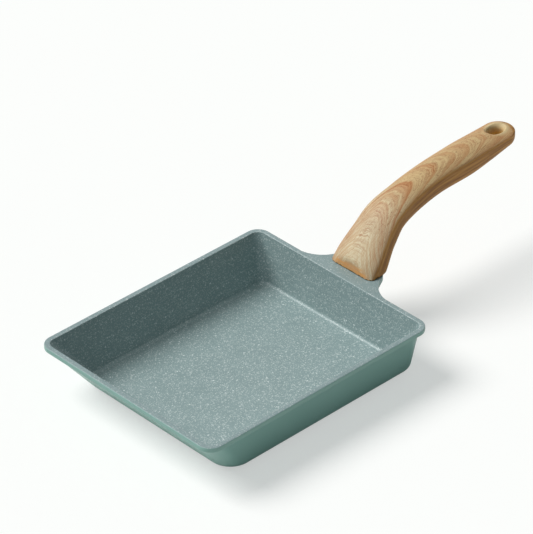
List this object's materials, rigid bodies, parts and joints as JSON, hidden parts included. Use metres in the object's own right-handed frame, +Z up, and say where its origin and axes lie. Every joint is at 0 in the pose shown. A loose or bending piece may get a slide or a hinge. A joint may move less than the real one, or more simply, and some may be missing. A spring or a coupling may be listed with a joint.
{
  "type": "rectangular omelette pan",
  "caption": "Rectangular non-stick omelette pan: shallow cast tray with one sloped wall, flush induction sole and a curved, wood-look handle with a hanging hole.",
  "frame": {"origin": "on the ground under the middle of the rim rectangle, on the flat sole the pan rests on", "axes": "+Z up; +Y from the tray towards the handle; +X across the tray, to the right seen from the tray's front"},
  "size_m": [0.165, 0.3609, 0.0926],
  "materials": {
    "pan_coating": "die-cast aluminium with a satin sage-green coat outside and a speckled non-stick coat inside",
    "sole_steel": "ferritic stainless sheet, brushed",
    "handle_bakelite": "bakelite moulding with a pale wood-grain transfer, satin",
    "insert_brass": "turned and knurled",
    "fastener_steel": "zinc-plated"
  },
  "bodies": {
    "root": {"pan_body": "pan_coating", "induction_base": "sole_steel", "handle_grip": "handle_bakelite", "threaded_insert": "insert_brass", "plain_washer": "fastener_steel", "lock_washer": "fastener_steel", "handle_screw": "fastener_steel"}
  },
  "joints": []
}
